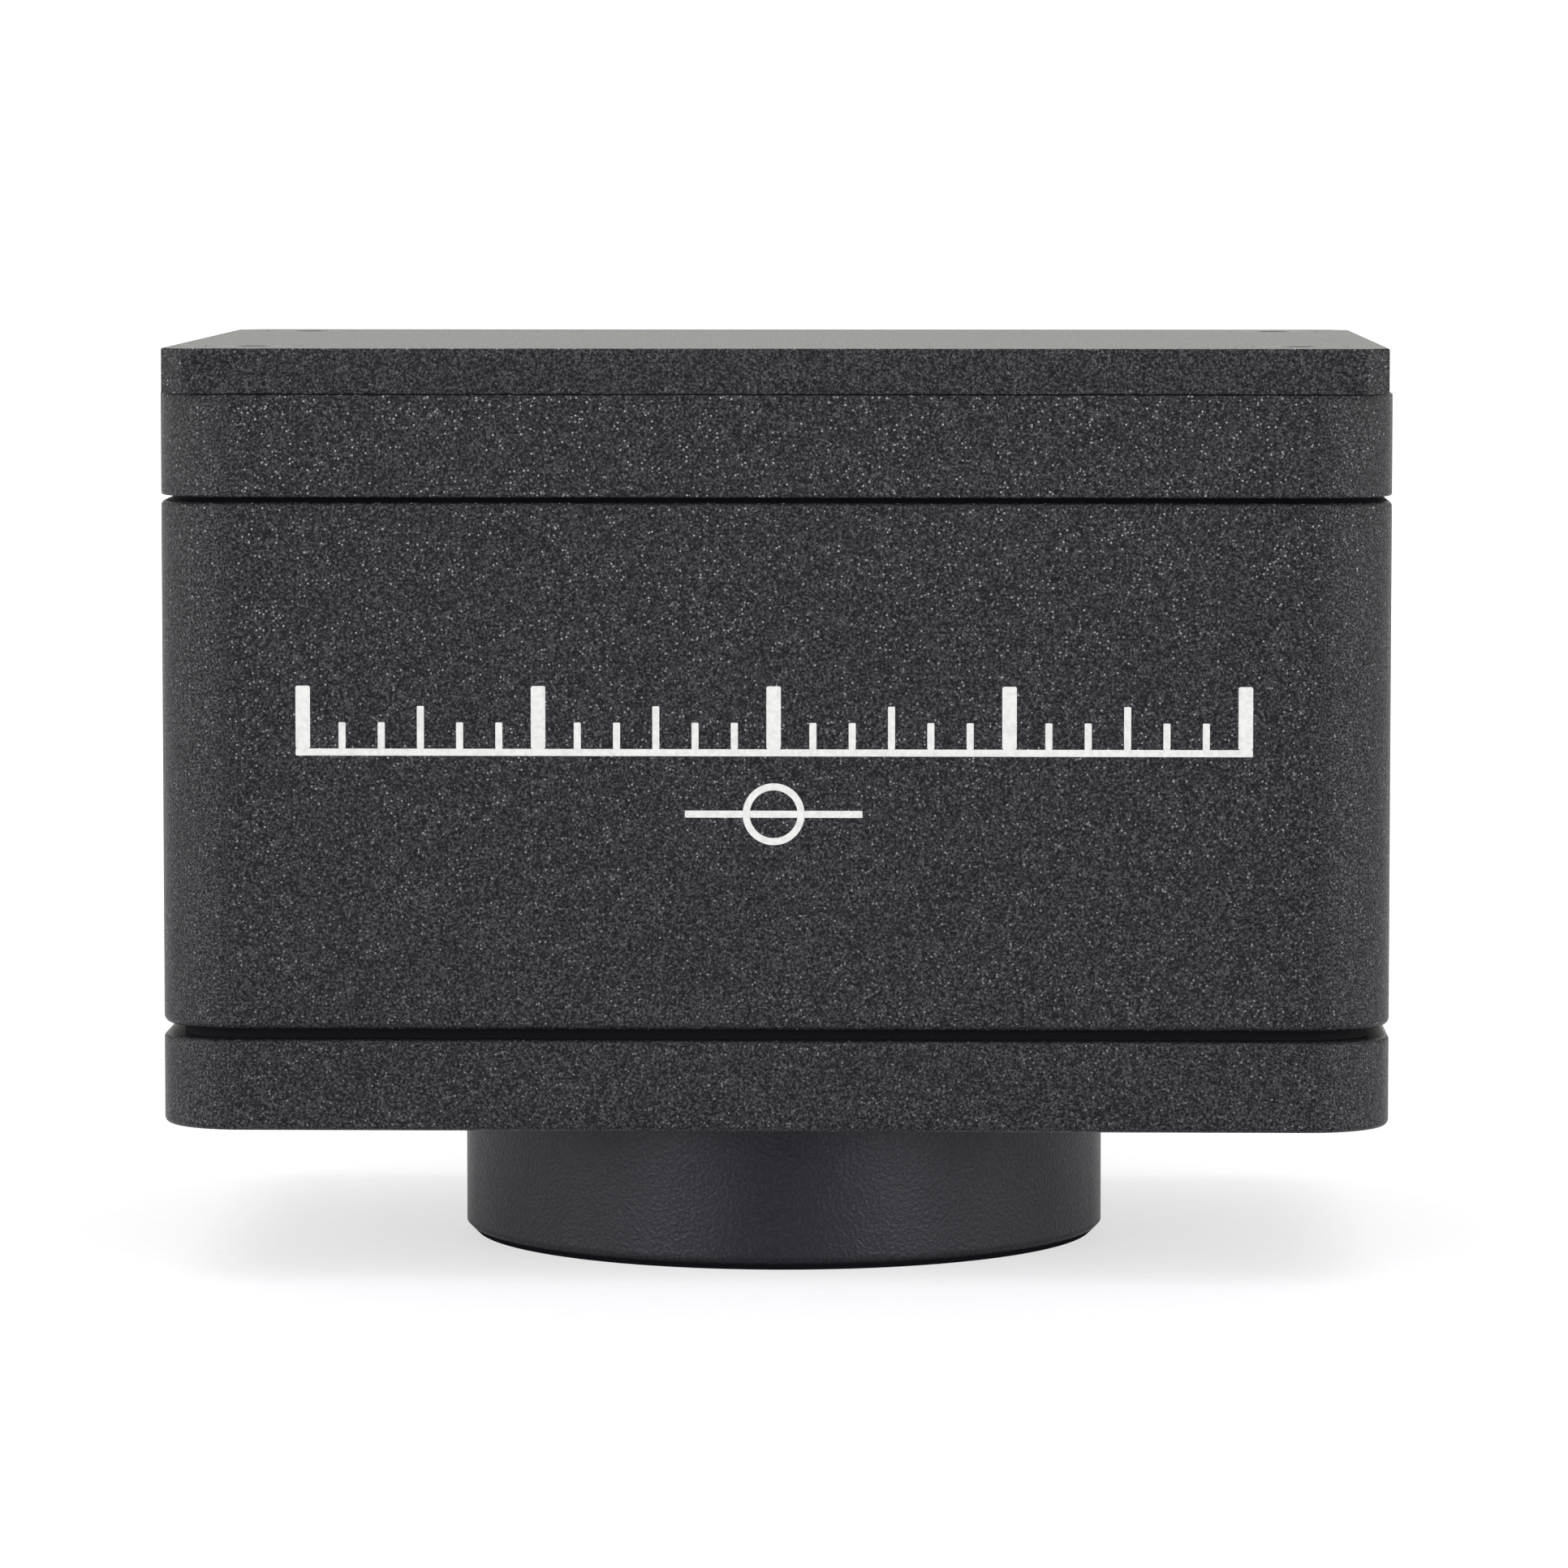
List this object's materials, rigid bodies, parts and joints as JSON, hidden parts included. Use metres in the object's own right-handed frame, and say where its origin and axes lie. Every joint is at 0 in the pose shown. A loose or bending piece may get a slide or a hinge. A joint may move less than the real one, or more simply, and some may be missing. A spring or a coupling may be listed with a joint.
{
  "type": "cooled c-mount camera",
  "caption": "Sealed black aluminium camera with a C-mount at its foot, a stacked rectangular housing and a USB-C socket at the back.",
  "frame": {"origin": "centre of the C-mount's seating face, the lowest face of the camera", "axes": "+Z along the optical axis from the mount to the rear cover, -Y out of the printed long side, +Y out of the connector side, +X along the housing's width"},
  "size_m": [0.06, 0.042, 0.0455],
  "materials": {
    "housing_black": "fine-texture powder coat, black with pale flecks",
    "mount_black": "satin black anodised",
    "rubber_black": "matte",
    "thermal_pad": "matte",
    "filter_glass": "coated",
    "clear_glass": "polished",
    "sensor_silicon": "polished",
    "ceramic_white": "matte",
    "board_green": "solder mask",
    "copper": "machined copper",
    "lead_sleeve": "matte",
    "bare_aluminium": "machined",
    "chip_black": "matte",
    "can_steel": "satin",
    "connector_white": "matte",
    "flex_amber": "satin",
    "clear_plastic": "polished",
    "screw_black": "black oxide",
    "screw_steel": "satin",
    "standoff_brass": "machined"
  },
  "bodies": {
    "root": {"board_screw_1": "screw_steel", "board_screw_2": "screw_steel", "board_screw_3": "screw_steel", "board_screw_4": "screw_steel", "body_shell": "housing_black", "c_mount_o_ring": "rubber_black", "c_mount_ring": "mount_black", "c_mount_screw_1": "screw_black", "c_mount_screw_2": "screw_black", "c_mount_screw_3": "screw_black", "clock_oscillator": "can_steel", "cold_plate": "copper", "cover_thermal_sheet": "thermal_pad", "filter_gasket": "rubber_black", "filter_retaining_ring": "mount_black", "flange_screw_1": "screw_black", "flange_screw_2": "screw_black", "flange_screw_3": "screw_black", "flange_screw_4": "screw_black", "flex_cable": "flex_amber", "front_flange": "housing_black", "front_gasket": "rubber_black", "heat_spreader": "bare_aluminium", "ir_cut_filter": "filter_glass", "light_pipe": "clear_plastic", "main_board": "board_green", "main_flex_connector": "connector_white", "memory_chip_1": "chip_black", "memory_chip_2": "chip_black", "peltier_lead_1": "lead_sleeve", "peltier_lead_2": "lead_sleeve", "peltier_module": "ceramic_white", "power_inductor": "chip_black", "processor_chip": "chip_black", "processor_thermal_pad": "thermal_pad", "rear_cover": "housing_black", "rear_gasket": "rubber_black", "rear_housing": "housing_black", "rear_screw_1": "screw_black", "rear_screw_2": "screw_black", "rear_screw_3": "screw_black", "rear_screw_4": "screw_black", "sensor_board": "board_green", "sensor_chamber_seal": "rubber_black", "sensor_cover_glass": "clear_glass", "sensor_die": "sensor_silicon", "sensor_flex_connector": "connector_white", "sensor_package": "ceramic_white", "spreader_thermal_pad": "thermal_pad", "standoff_1": "standoff_brass", "standoff_2": "standoff_brass", "standoff_3": "standoff_brass", "standoff_4": "standoff_brass", "status_led": "connector_white", "temperature_sensor": "chip_black", "usb_controller_chip": "chip_black", "usb_port_shell": "can_steel", "usb_port_tongue": "chip_black", "voltage_regulator": "chip_black"}
  },
  "joints": []
}
